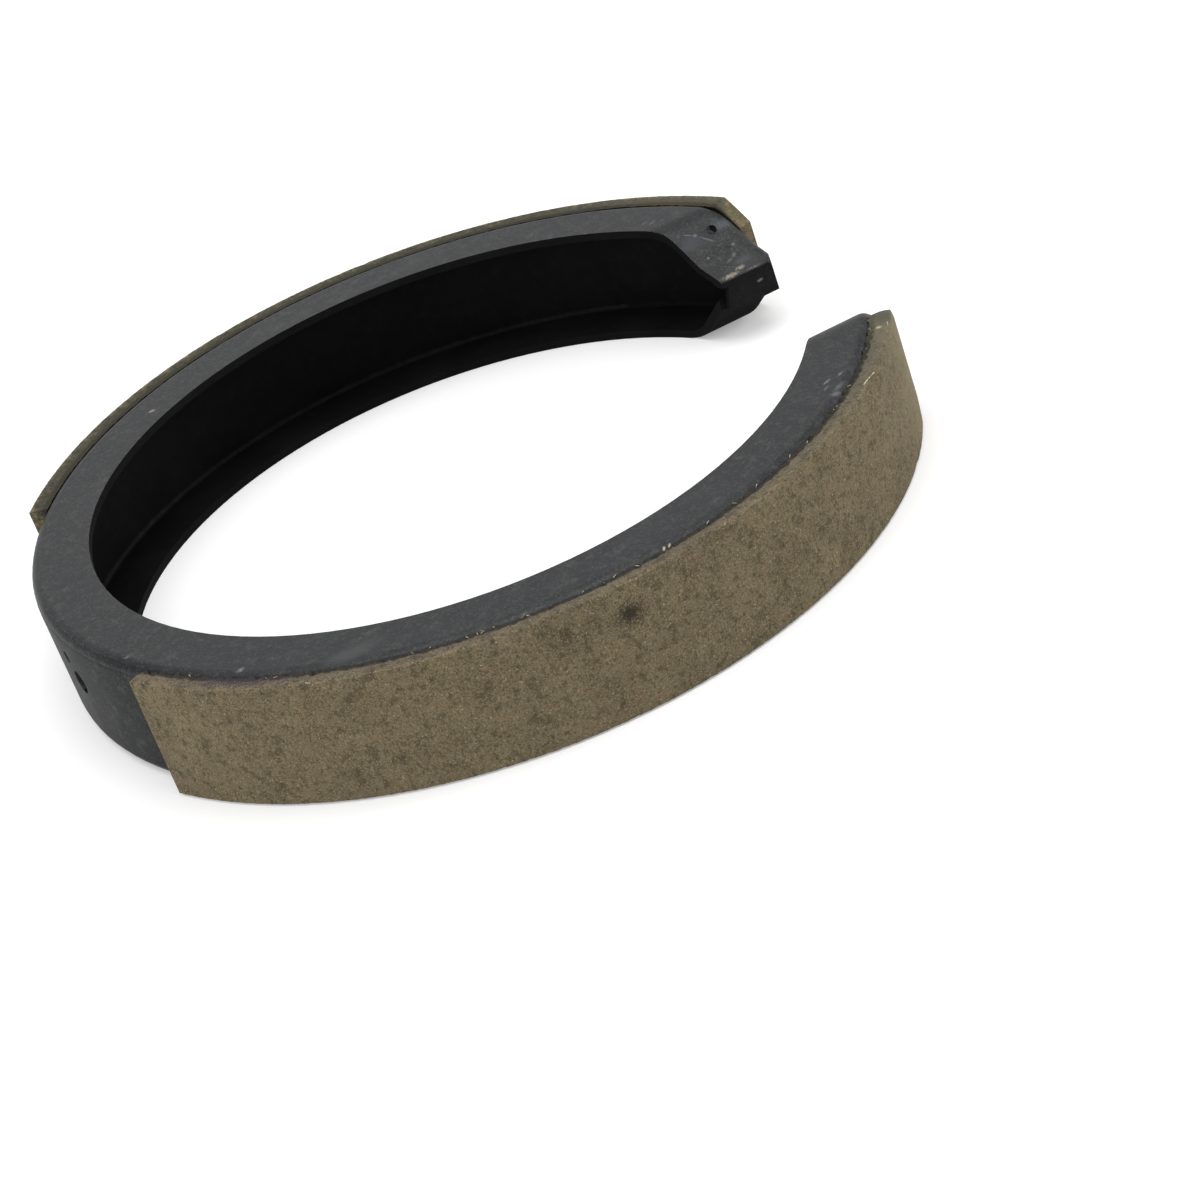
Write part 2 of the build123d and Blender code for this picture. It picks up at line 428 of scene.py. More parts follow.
@dataclass(frozen=True)
class FrictionComposite:
    """Moulded friction material: resin, mineral filler, rubber crumbs and fibres.

    Its working face is ground, which opens the filler and gives the eye a matt,
    densely speckled olive brown. Its long sides are sawn: darker and dirtier, with
    a little black overspray, and they meet the face in a ragged line.

    Sizes are in millimetres.

    Attributes:
        name: the material's name.
        ground: colours of the working face and the ends.
        sawn: colours of the long sides.
        warm: hex colour of resin-rich patches.
        nose_side: hex colour of the long sides where they near the nose end.
        greying: X where the sides begin to grey and where they are grey.
        overspray: hex colour of paint that strayed from the rim.
        sprayed: how much of it there is, from 0 to 1.
        seat_line: hex colour of the bond line at the rim.
        half_width: from the mid-plane to a long side.
        seat_radius: radius of the bond line.
        face_radius: radius of the working face.
        edge_waves: how far smears and resin make the long edge stray.
        bond_waves: how far they make the bond line stray.
        gloss: level of its mirror-like reflection.
        roughness: of its matt surface.
        marks: stains, chips, stray fibres and patches of painted light.
    """

    name: str = "moulded_friction_composite"
    ground: Palette = Palette("#6d634d", "#928769", "#453c29", "#3d3522", "#b9ae92")
    sawn: Palette = Palette("#665d4b", "#857b66", "#3f382c", "#332d23", "#a0977f")
    warm: str = "#7b6850"
    nose_side: str = "#5a594b"
    greying: Pair = (50.0, 85.0)
    overspray: str = "#3c373a"
    sprayed: float = 0.15
    seat_line: str = "#1f1e1c"
    half_width: float = LINING_WIDTH / 2
    seat_radius: float = WALL_RADIUS
    face_radius: float = FACE_RADIUS
    edge_waves: Pair = (3.6, 2.8)
    bond_waves: Pair = (2.4, 1.8)
    gloss: float = 0.25
    roughness: float = 0.88
    marks: tuple[Spot, ...] = ()

    def lay_body(
        self, tree: NodeTree, point: Socket, patterns: tuple[Socket, ...], palette: Palette
    ) -> Socket:
        """Lay filler, resin and crumbs over the body colour.

        Args:
            tree: the node tree.
            point: the surface point in millimetres.
            patterns: patches, smears, resin and grain.
            palette: the colours.

        Returns:
            The colour's socket.
        """
        patches, smears, resin, grain = patterns
        colour = srgb(palette.body)
        for pattern, layer in (
            (patches, Layer(palette.light, none=0.5, full=0.75, strength=0.3)),
            (patches, Layer(palette.dark, none=0.5, full=0.28, strength=0.35)),
            (smears, Layer(self.warm, none=0.5, full=0.32, strength=0.6)),
            (resin, Layer(palette.dark, none=0.5, full=0.64, strength=0.6)),
            (grain, Layer(palette.light, none=0.5, full=0.7, strength=0.75)),
            (grain, Layer(palette.dark, none=0.5, full=0.28, strength=0.65)),
            (smears, Layer(palette.crumb, none=0.53, full=0.66, strength=0.5)),
        ):
            colour = layer.lay(tree, pattern, colour)
        # Crumbs, smaller crumbs, grains, and slivers of fibre that lie two ways.
        for flecks in (
            Flecks(palette.crumb, size=1.0, spacing=2.3, share=0.16, strength=0.5),
            Flecks(palette.crumb, size=0.5, spacing=1.1, share=0.12, strength=0.55),
            Flecks(palette.speck, size=0.32, spacing=0.9, share=0.14, strength=0.65),
            Flecks(palette.speck, 0.2, 1.6, 0.1, length=6.0, turn=(0.2, 0.5, 0.5)),
            Flecks(palette.speck, 0.2, 1.6, 0.1, length=6.0, turn=(1.1, -0.8, -0.8)),
        ):
            colour = flecks.lay(tree, point, colour)
        return colour

    def stray(self, tree: NodeTree, measure: Socket, patterns: tuple[Socket, ...], waves: Pair) -> Socket:
        """Add noise to a measure, so that a line drawn at it is ragged.

        Args:
            tree: the node tree.
            measure: the measure, in millimetres.
            patterns: smears and resin, noises about 0.5.
            waves: how far each makes the line stray, in millimetres.

        Returns:
            The measure, larger by half of both waves in the mean.
        """
        for pattern, wave in zip(patterns, waves, strict=True):
            measure = add_node(
                tree, "ShaderNodeMath", {0: pattern, 1: wave, 2: measure}, operation="MULTIPLY_ADD"
            ).outputs["Value"]
        return measure

    def relief(self, tree: NodeTree, side: Socket, resin: Socket, grain: Socket) -> Socket:
        """Roughen the surface, the sawn sides more than the ground face.

        Args:
            tree: the node tree.
            side: 0 on the working face and 1 on a long side.
            resin: noise of the resin between the filler.
            grain: noise of the grains.

        Returns:
            The bumped normal's socket.
        """
        tear = add_node(tree, "ShaderNodeMapRange", {"Value": side, "To Min": 0.5, "To Max": 2.2})
        coarse = add_node(
            tree, "ShaderNodeMath", {0: resin, 1: tear.outputs["Result"]}, operation="MULTIPLY"
        )
        height = add_node(
            tree,
            "ShaderNodeMath",
            {0: grain, 1: 0.6, 2: coarse.outputs["Value"]},
            operation="MULTIPLY_ADD",
        )
        return add_node(
            tree,
            "ShaderNodeBump",
            {"Height": height.outputs["Value"], "Strength": 0.8, "Distance": 0.14 * MM},
        ).outputs["Normal"]

    def build(self) -> Material:
        """Make the lining's material.

        Returns:
            The material.
        """
        material, tree, shader = new_surface(self.name, refraction=1.5, gloss=self.gloss)
        shader.inputs["Roughness"].default_value = self.roughness
        point = object_point(tree)
        # Uneven mixing of about a centimetre, smears of about 2 mm, resin between
        # the filler of about a millimetre, and grains of a third of one.
        patterns = tuple(
            add_node(
                tree,
                "ShaderNodeTexNoise",
                {"Vector": point, "Scale": 1 / size, "Detail": detail, "Roughness": 0.6},
            ).outputs["Fac"]
            for size, detail in ((10.0, 3.0), (2.4, 5.0), (1.1, 4.0), (0.36, 2.0))
        )
        _, smears, resin, grain = patterns
        ground, sawn = (
            self.lay_body(tree, point, patterns, palette)
            for palette in (self.ground, self.sawn)
        )
        # Height less radius: less than half_width - face_radius on the working face,
        # and more than that on a long side.
        axes = add_node(tree, "ShaderNodeSeparateXYZ", {"Vector": point})
        height = add_node(tree, "ShaderNodeMath", {0: axes.outputs["Z"]}, operation="ABSOLUTE")
        outward = add_node(
            tree, "ShaderNodeVectorMath", {0: point, 1: (1.0, 1.0, 0.0)}, operation="MULTIPLY"
        )
        radius = add_node(
            tree, "ShaderNodeVectorMath", {0: outward.outputs["Vector"]}, operation="LENGTH"
        ).outputs["Value"]
        around = add_node(
            tree, "ShaderNodeMath", {0: height.outputs["Value"], 1: radius}, operation="SUBTRACT"
        )
        ragged = self.stray(tree, around.outputs["Value"], (smears, resin), self.edge_waves)
        edge = self.half_width - self.face_radius + sum(self.edge_waves) / 2
        sprayed = Layer(self.overspray, none=edge + 0.4, full=edge + 3.0, strength=self.sprayed)
        sawn = sprayed.lay(tree, ragged, sawn)
        greyed = Layer(self.nose_side, *self.greying, strength=0.4)
        sawn = greyed.lay(tree, axes.outputs["X"], sawn)
        side = add_node(
            tree,
            "ShaderNodeMapRange",
            {"Value": ragged, "From Min": edge - 0.2, "From Max": edge + 1.0},
            interpolation_type="SMOOTHSTEP",
        ).outputs["Result"]
        colour = add_node(
            tree, "ShaderNodeMix", {0: side, 6: ground, 7: sawn}, data_type="RGBA"
        ).outputs[2]
        crumbled = self.stray(tree, radius, (smears, resin), self.bond_waves)
        bond_line = self.seat_radius + sum(self.bond_waves) / 2
        bond = Layer(self.seat_line, none=bond_line + 0.7, full=bond_line + 0.1, strength=0.85)
        colour = bond.lay(tree, crumbled, colour)
        for mark in self.marks:
            colour = mark.lay(tree, point, grain, colour)
        tree.links.new(colour, shader.inputs["Base Color"])
        normal = self.relief(tree, side, resin, grain)
        tree.links.new(normal, shader.inputs["Normal"])
        return material


@dataclass(frozen=True)
class AramidFibre:
    """Chopped aramid fibre that binds the lining: pale straw with a silky sheen.

    Attributes:
        name: the material's name.
        colour: hex colour of the clean fibre.
        dusty: hex colour where lining dust clings to it.
    """

    name: str = "aramid_fibre"
    colour: str = "#c2b999"
    dusty: str = "#7d735b"

    def build(self) -> Material:
        """Make the fibre's material.

        Returns:
            The material.
        """
        material, tree, shader = new_surface(self.name, refraction=1.6, gloss=0.3)
        # Dust clings to about every other millimetre of it.
        dust = add_node(
            tree, "ShaderNodeTexNoise", {"Vector": object_point(tree), "Scale": 1.0, "Detail": 2.0}
        ).outputs["Fac"]
        clung = Layer(self.dusty, none=0.42, full=0.58, strength=0.9)
        colour = clung.lay(tree, dust, srgb(self.colour))
        tree.links.new(colour, shader.inputs["Base Color"])
        dullness = add_node(
            tree,
            "ShaderNodeMapRange",
            {"Value": dust, "From Min": 0.4, "From Max": 0.6, "To Min": 0.55, "To Max": 0.85},
        )
        tree.links.new(dullness.outputs["Result"], shader.inputs["Roughness"])
        return material


def finish_object(name: str, shape: Shape, materials: list[Material], node: str) -> Thing:
    """Make a bmesh an object that stands for a CAD node.

    Args:
        name: the object's name.
        shape: its mesh, in metres and in place. It is freed.
        materials: its materials, in the order of its faces' indices.
        node: the CAD node that it stands for.

    Returns:
        The object.
    """
    mesh = bpy.data.meshes.new(name)
    shape.to_mesh(mesh)
    shape.free()
    for material in materials:
        mesh.materials.append(material)
    piece = bpy.data.objects.new(name, mesh)
    bpy.context.scene.collection.objects.link(piece)
    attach(piece, "root")
    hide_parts(node)
    return piece


class Coat(IntEnum):
    """Copies of one black paint for parts of the rim, in the order of its materials: the darker or less
    glossy copies are painted shade, and the plate copy on the channel's lower bend is a painted
    highlight.
    """

    FLANGE = 0
    BEND = 1
    WALL = 2
    CHANNEL = 3
    PLATE = 4


@dataclass
class Rim:
    """The pressed steel rim.

    Sizes are in millimetres and angles in degrees.

    Attributes:
        wall_radius: outer face of the wall.
        half_width: half its width over the flanges.
        plate: from the opening's middle to just past an end plate's face.
        lower_crease: from there to where the lower joggles begin.
        shine_end: X up to which the lower inner bend gets a painted highlight.
        bend_depth: from the wall's outer face to the bends' end.
        weld: distance at which two points are joined.
        speck: length under which an edge is dissolved.
        flat_angle: turn under which two faces are one.
        level: least part of a flange's normal that runs along the axis.
        upright: least part of the wall's normal that points outward.
        leaning: the same for the bends beside the wall.
        inward: most outward part of the normal of the wall's inner face.
        tilted: most upward part of an end plate's normal.
        shining: least upward part of that bend's normal.
        edge_round: rounding of the sheared edges.
        sharp_angle: least turn between two faces of a sheared edge.
    """

    wall_radius: float = WALL_RADIUS
    half_width: float = RIM_HALF_WIDTH
    plate: float = 25.5
    lower_crease: float = 43.5
    shine_end: float = 70.0
    bend_depth: float = 2.0
    weld: float = 0.002
    speck: float = 0.005
    flat_angle: float = 0.4
    level: float = 0.9
    upright: float = 0.94
    leaning: float = 0.6
    inward: float = -0.35
    tilted: float = 0.5
    shining: float = 0.15
    edge_round: float = 0.3
    sharp_angle: float = 42.0

    def build(self) -> Shape:
        """Copy the CAD shape, join it up and round its sheared edges.

        Returns:
            The rim's mesh, in metres and in place.
        """
        shape = bmesh.new()
        shape.from_mesh(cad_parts["shoe_rim"].data)
        bmesh.ops.remove_doubles(shape, verts=shape.verts, dist=self.weld * MM)
        bmesh.ops.dissolve_degenerate(shape, edges=shape.edges, dist=self.speck * MM)
        bmesh.ops.dissolve_limit(
            shape, angle_limit=math.radians(self.flat_angle), verts=shape.verts, edges=shape.edges
        )
        sheared = [
            edge
            for edge in shape.edges
            if edge.is_manifold
            and edge.calc_face_angle(0.0) > math.radians(self.sharp_angle)
        ]
        bmesh.ops.bevel(
            shape,
            geom=sheared,
            offset=self.edge_round * MM,
            offset_type="OFFSET",
            affect="EDGES",
            segments=2,
            profile=0.5,
            material=-1,
            clamp_overlap=True,
        )
        return shape

    def coat_of(self, face: bmesh.types.BMFace) -> Coat:
        """Tell which coat a face of the rim has, from its place and its normal.

        Args:
            face: the face, in metres.

        Returns:
            Its coat.
        """
        middle = face.calc_center_median() / MM
        radius = math.hypot(middle.x, middle.y)
        outward = Vector((middle.x, middle.y, 0.0)) / radius
        # How far the face looks up, outward and towards the mid-plane.
        up = face.normal.z
        out = face.normal.dot(outward)
        inside = -up * math.copysign(1.0, middle.z)
        by_opening = middle.x > 0
        is_lower = middle.z < 0
        past_plate = abs(middle.y) < self.plate
        past_crease = abs(middle.y) < self.lower_crease
        # Painted shade: the end plates and the lower joggles by the opening get darker copies of the
        # paint.
        if by_opening and past_plate and up < self.tilted:
            return Coat.PLATE
        if by_opening and is_lower and past_crease and out < self.leaning:
            return Coat.CHANNEL
        # The inner faces of the two flanges, whichever way round they run, in painted shade.
        if inside > self.level:
            return Coat.CHANNEL
        # The rest of the channel's inside, in painted shade. Its lower bend gets the plate copy, which
        # reflects more: a painted highlight.
        if out < self.inward and abs(middle.z) < self.half_width - self.edge_round:
            in_lower_bend = is_lower and self.shining < up < self.level
            shines = in_lower_bend and middle.x < self.shine_end
            return Coat.PLATE if shines else Coat.CHANNEL
        # The outer wall and the bends beside it get copies that reflect less than the flange: painted
        # shade.
        if radius > self.wall_radius - self.bend_depth and out > self.leaning:
            return Coat.WALL if out > self.upright else Coat.BEND
        return Coat.FLANGE

    def dress(self, coats: dict[Coat, BlackPaint]) -> Thing:
        """Make the rim's object and paint it.

        Args:
            coats: the paint of each coat.

        Returns:
            The finished object.
        """
        shape = self.build()
        shape.normal_update()
        for face in shape.faces:
            face.smooth = True
            face.material_index = self.coat_of(face)
        paints = [coats[coat].build() for coat in Coat]
        rim = finish_object("pressed_rim", shape, paints, "shoe_rim")
        rim.data.set_sharp_from_angle(angle=math.radians(60.0))
        weights = rim.modifiers.new("even_normals", "WEIGHTED_NORMAL")
        weights.keep_sharp = True
        weights.weight = 60
        return rim


@dataclass
class Lining:
    """One friction lining, bonded to the rim's wall.

    Sizes are in millimetres and angles in degrees.

    Attributes:
        name: the piece's name.
        node: the CAD node that it stands for.
        nose: angle of the clipped end.
        heel: angle of the square end.
        clip: size of the two 45 degree clips.
        seed: offset of its noise.
        seat_radius: inner radius.
        face_radius: radius of the working face.
        width: width across the drum.
        grid: spacing of the mesh.
        weld: distance at which two points are joined.
        fray: depth of the torn outer edges.
        under: how much of that depth the lower edges have.
        tears: how many times deeper than frayed the torn places are.
        chips: depth of the chips along the seat.
        bond: share of the space over the rim's round corner that the bond fills.
        uneven: how much of the chips' depth the bond's surface varies by.
        brim: most of that space that the bond fills.
        half_width: half the rim's width over its flanges.
        half_flat: half the width of the flat of the rim's wall.
        tear_reach: how far the wear reaches in from a long edge.
        face_reach: how far it reaches below the working face.
        seat_reach: how far chips and bond reach from the seat.
    """

    name: str
    node: str
    nose: float
    heel: float
    clip: float
    seed: float
    seat_radius: float = WALL_RADIUS
    face_radius: float = FACE_RADIUS
    width: float = LINING_WIDTH
    grid: float = 0.6
    weld: float = 0.01
    fray: float = 0.16
    under: float = 0.4
    tears: float = 3.0
    chips: float = 1.3
    bond: float = 0.65
    uneven: float = 0.6
    brim: float = 0.9
    half_width: float = RIM_HALF_WIDTH
    half_flat: float = 11.9
    tear_reach: float = 1.1
    face_reach: float = 1.3
    seat_reach: float = 1.0

    def build(self) -> Shape:
        """Spin the section round the drum, clip the nose and tear the edges.

        Returns:
            The lining's mesh, in metres and in place.
        """
        shape = bmesh.new()
        thickness = self.face_radius - self.seat_radius
        middle = (self.face_radius + self.seat_radius) / 2
        place = (
            Matrix.Rotation(math.radians(self.nose), 4, "Z")
            @ Matrix.Translation((middle * MM, 0.0, 0.0))
            @ Matrix.Rotation(math.radians(90.0), 4, "X")
            @ Matrix.Diagonal((thickness * MM, self.width * MM, 1.0, 1.0))
        )
        bmesh.ops.create_grid(
            shape,
            x_segments=round(thickness / self.grid),
            y_segments=round(self.width / self.grid),
            size=0.5,
            matrix=place,
        )
        sweep = math.radians(self.heel - self.nose)
        bmesh.ops.spin(
            shape,
            geom=shape.verts[:] + shape.edges[:] + shape.faces[:],
            cent=(0.0, 0.0, 0.0),
            axis=(0.0, 0.0, 1.0),
            angle=sweep,
            steps=round(abs(sweep) * self.face_radius / self.grid),
            use_merge=False,
        )
        bmesh.ops.remove_doubles(shape, verts=shape.verts, dist=self.weld * MM)
        self.clip_corners(shape)
        bmesh.ops.recalc_face_normals(shape, faces=shape.faces)
        self.tear_edges(shape)
        return shape

    def clip_corners(self, shape: Shape) -> None:
        """Cut the two corners of the nose end at 45 degrees.

        Args:
            shape: the lining's mesh. It is changed.
        """
        turn = math.radians(self.nose)
        along = Vector((-math.sin(turn), math.cos(turn), 0.0))
        along *= math.copysign(1.0, self.heel - self.nose)
        end = Vector((math.cos(turn), math.sin(turn), 0.0)) * (self.seat_radius * MM)
        for side in (1, -1):
            up = Vector((0.0, 0.0, float(side)))
            bmesh.ops.bisect_plane(
                shape,
                geom=shape.verts[:] + shape.edges[:] + shape.faces[:],
                plane_co=end + up * ((self.width / 2 - self.clip) * MM),
                plane_no=(up - along).normalized(),
                clear_outer=True,
            )
            rims = [edge for edge in shape.edges if edge.is_boundary]
            bmesh.ops.edgeloop_fill(shape, edges=rims)

    def tear_edges(self, shape: Shape) -> None:
        """Move the points near the long edges in, as sawing and handling tear them.

        At the seat the side is chipped, and the bond fills most of the space over
        the rim's round corner.

        Args:
            shape: the lining's mesh. It is changed.
        """
        corner = self.half_width - self.half_flat
        for vert in shape.verts:
            point = vert.co / MM
            where = point + Vector((self.seed, 0.0, 0.0))
            radius = math.hypot(point.x, point.y)
            outward = Vector((point.x, point.y, 0.0)) / radius
            lift = math.copysign(1.0, point.z)
            # Nearness to the long edge, the working face and the seat, from 0 to 1.
            edge = max(0.0, 1 - (self.width / 2 - abs(point.z)) / self.tear_reach)
            face = max(0.0, 1 - (self.face_radius - radius) / self.face_reach)
            seat = max(0.0, 1 - (radius - self.seat_radius) / self.seat_reach)
            # Noise in waves of 0.8 to 2.4 mm.
            fine = noise.noise(where * 1.3)
            coarse = noise.noise(where * 0.42 + Vector((7.0, 3.0, 1.0)))
            chipped = noise.noise(where * 0.9)
            lumps = noise.noise(where * 1.1 + Vector((1.0, 9.0, 4.0)))
            torn = max(0.0, coarse - 0.2) * self.tears
            depth = self.fray * (0.5 + fine + torn)
            pull = max(depth, 0.0) * (1.0 if point.z > 0 else self.under)
            vert.co -= outward * (pull * edge * face * MM)
            vert.co.z -= lift * pull * edge * face * MM
            chip = max(0.0, chipped + 0.1) * self.chips
            vert.co.z -= lift * chip * edge * seat * MM
            rise = max(0.0, abs(point.z) - self.half_flat)
            space = corner - math.sqrt(corner**2 - rise**2)
            spread = self.uneven * lumps * self.chips * min(1.0, space)
            fill = min(self.bond * space + spread, self.brim * space)
            vert.co -= outward * (fill * seat * MM)

    def dress(self, composite: Material) -> Thing:
        """Make the lining's object.

        Args:
            composite: its material.

        Returns:
            The finished object.
        """
        shape = self.build()
        shape.normal_update()
        for face in shape.faces:
            face.smooth = True
        lining = finish_object(self.name, shape, [composite], self.node)
        lining.data.set_sharp_from_angle(angle=math.radians(45.0))
        return lining


@dataclass
class Hairs:
    """Stray fibres that stand out of the near lining's torn edges.

    Sizes are in millimetres and angles in degrees.

    Attributes:
        name: the piece's name.
        thickness: of one short fibre.
        long_one: ends and middle of the one long fibre.
        long_thickness: how many times thicker it is.
        count: how many short ones there are.
        seed: of the short ones' places.
        span: angles between which they stand.
        roots: radii at which they stand.
        root_height: height at which they stand.
        lengths: least and greatest length.
        lean: how far one leans along the edge, for a length of 1.
        splay: how far it leans in and out, for a length of 1.
        tips: least and greatest height of a tip.
        bow: how far the middle bows up.
    """

    name: str = "stray_fibres"
    thickness: float = 0.16
    long_one: tuple[Place, ...] = ((72.4, -74.2, 14.75), (74.4, -72.7, 14.9), (76.5, -71.3, 14.8))
    long_thickness: float = 2.0
    count: int = 46
    seed: int = 5
    span: Pair = (-151.6, -28.8)
    roots: tuple[float, ...] = (99.9, 100.4, 104.1)
    root_height: float = 14.45
    lengths: Pair = (0.6, 1.7)
    lean: Pair = (-1.0, 1.0)
    splay: Pair = (-0.3, 0.1)
    tips: Pair = (14.7, 14.98)
    bow: float = 0.1

    def strands(self) -> list[list[Vector]]:
        """Place the fibres: the long one first, then short ones at random.

        Returns:
            The points of each, from root to tip, in millimetres.
        """
        strands = [[Vector(point) for point in self.long_one]]
        chance = random.Random(self.seed)
        for _ in range(self.count):
            turn = math.radians(chance.uniform(*self.span))
            outward = Vector((math.cos(turn), math.sin(turn), 0.0))
            along = Vector((-outward.y, outward.x, 0.0))
            radius = chance.choice(self.roots)
            root = outward * radius + Vector((0.0, 0.0, self.root_height))
            length = chance.uniform(*self.lengths)
            lean = chance.uniform(*self.lean)
            splay = chance.uniform(*self.splay)
            tip = root + (along * lean + outward * splay) * length
            tip.z = chance.uniform(*self.tips)
            middle = (root + tip) / 2 + Vector((0.0, 0.0, self.bow))
            strands.append([root, middle, tip])
        return strands

    def dress(self, fibre: AramidFibre) -> Thing:
        """Make the fibres one curve object.

        Args:
            fibre: their material.

        Returns:
            The finished object.
        """
        curve = bpy.data.curves.new(self.name, "CURVE")
        curve.dimensions = "3D"
        curve.bevel_depth = self.thickness / 2 * MM
        curve.bevel_resolution = 1
        curve.resolution_u = 3
        for index, strand in enumerate(self.strands()):
            spline = curve.splines.new("NURBS")
            spline.points.add(len(strand) - 1)
            for point, place in zip(spline.points, strand, strict=True):
                point.co = (*(place * MM), 1.0)
                point.radius = self.long_thickness if index == 0 else 1.0
            spline.order_u = 3
            spline.use_endpoint_u = True
            spline.use_cyclic_u = False
        curve.materials.append(fibre.build())
        hairs = bpy.data.objects.new(self.name, curve)
        bpy.context.scene.collection.objects.link(hairs)
        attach(hairs, "root")
        return hairs


@dataclass
class Lamp:
    """A square soft box that looks at the shoe.

    Attributes:
        name: its name.
        place: where it hangs, in metres.
        size: its side, in metres.
        power: in watts.
    """

    name: str
    place: Place
    size: float
    power: float

    def build(self) -> None:
        """Hang the lamp, out of the camera's sight, and turn it to the shoe."""
        data = bpy.data.lights.new(self.name, "AREA")
        data.shape = "SQUARE"
        data.size = self.size
        data.energy = self.power
        lamp = bpy.data.objects.new(self.name, data)
        lamp.location = self.place
        lamp.rotation_euler = (-Vector(self.place)).to_track_quat("-Z", "Y").to_euler()
        lamp.visible_camera = False
        bpy.context.scene.collection.objects.link(lamp)


@dataclass
class Studio:
    """A pale floor, soft lights and the camera.

    Attributes:
        floor_height: where the shoe rests, in millimetres.
        floor_gap: how far the floor lies below that, in millimetres.
        floor_reach: from the floor's middle to its sides, in metres.
        paper: hex colour of the floor.
        glow: how much of the floor's white is its own, where 1 is all of it.
        room: hex colour of the light from all round.
        room_level: its strength.
        lamps: the soft boxes.
        sensor: width of the camera's sensor, in millimetres.
        lens: the camera's focal length, in millimetres.
        sight: nearest and farthest distance that it sees, in metres.
        camera_place: where it stands, in metres.
        camera_turn: its rotation about X, Y and Z, in degrees.
    """

    floor_height: float = -RIM_HALF_WIDTH
    floor_gap: float = 0.1
    floor_reach: float = 4.0
    paper: str = "#e4e4e3"
    glow: float = 0.3
    room: str = "#f4f5f7"
    room_level: float = 0.6
    lamps: tuple[Lamp, ...] = (
        Lamp("overhead_box", (0.0, -0.2, 1.3), size=1.3, power=12.0),
        Lamp("right_fill", (1.6, -0.25, 0.6), size=0.9, power=10.0),
        Lamp("left_fill", (-1.5, -0.4, 0.5), size=0.9, power=6.5),
        Lamp("back_panel", (0.2, 1.45, 0.72), size=1.2, power=1.5),
    )
    sensor: float = 36.0
    lens: float = 96.154
    sight: Pair = (0.05, 20.0)
    camera_place: Place = (-0.134, -0.64857, 0.32624)
    camera_turn: Place = (59.278, 17.354, -23.396)

    def build_floor(self) -> None:
        """Lay a floor of matt white paper that keeps the shoe's shadow.

        A little of the paper's white is its own, so that it reads as a pale
        background while the shadow stays.
        """
        shape = bmesh.new()
        bmesh.ops.create_grid(
            shape,
            x_segments=1,
            y_segments=1,
            size=self.floor_reach,
            matrix=Matrix.Translation((0.0, 0.0, (self.floor_height - self.floor_gap) * MM)),
        )
        mesh = bpy.data.meshes.new("floor")
        shape.to_mesh(mesh)
        shape.free()
        floor = bpy.data.objects.new("floor", mesh)
        bpy.context.scene.collection.objects.link(floor)
        material = bpy.data.materials.new("white_paper")
        material.use_nodes = True
        tree = material.node_tree
        tree.nodes.clear()
        paper = add_node(tree, "ShaderNodeBsdfDiffuse", {"Color": srgb(self.paper)})
        rays = tree.nodes.new("ShaderNodeLightPath")
        seen = rays.outputs["Is Camera Ray"]
        for kind in ("Is Glossy Ray", "Is Transmission Ray"):
            seen = add_node(
                tree, "ShaderNodeMath", {0: seen, 1: rays.outputs[kind]}, operation="MAXIMUM"
            ).outputs["Value"]
        level = add_node(tree, "ShaderNodeMath", {0: seen, 1: self.glow}, operation="MULTIPLY")
        glow = add_node(
            tree,
            "ShaderNodeEmission",
            {"Color": srgb("#ffffff"), "Strength": level.outputs["Value"]},
        )
        both = add_node(
            tree, "ShaderNodeAddShader", {0: paper.outputs["BSDF"], 1: glow.outputs["Emission"]}
        )
        add_node(tree, "ShaderNodeOutputMaterial", {"Surface": both.outputs["Shader"]})
        mesh.materials.append(material)

    def light_room(self) -> None:
        """Light the shoe evenly from all round."""
        world = bpy.data.worlds.new("room")
        bpy.context.scene.world = world
        world.use_nodes = True
        background = world.node_tree.nodes["Background"]
        background.inputs["Color"].default_value = srgb(self.room)
        background.inputs["Strength"].default_value = self.room_level

    def place_camera(self) -> None:
        """Set the camera above the shoe's near arm, rolled so that the shoe slants."""
        data = bpy.data.cameras.new("camera")
        data.sensor_width = self.sensor
        data.lens = self.lens
        data.clip_start, data.clip_end = self.sight
        camera = bpy.data.objects.new("camera", data)
        camera.location = self.camera_place
        camera.rotation_euler = [math.radians(turn) for turn in self.camera_turn]
        bpy.context.scene.collection.objects.link(camera)
        bpy.context.scene.camera = camera

    def build(self) -> None:
        """Build the whole studio.

        The view transform is Standard, so that a colour renders as it is written.
        """
        self.build_floor()
        self.light_room()
        for lamp in self.lamps:
            lamp.build()
        self.place_camera()
        bpy.context.scene.view_settings.view_transform = "Standard"


PALE_TAN = "#8f8776"
PALE = "#77777a"
SCRATCH = "#5c5d61"
DENT_SHADE = "#050506"
FIBRE = "#b9b095"
BLUISH_SHEEN = "#3c4045"
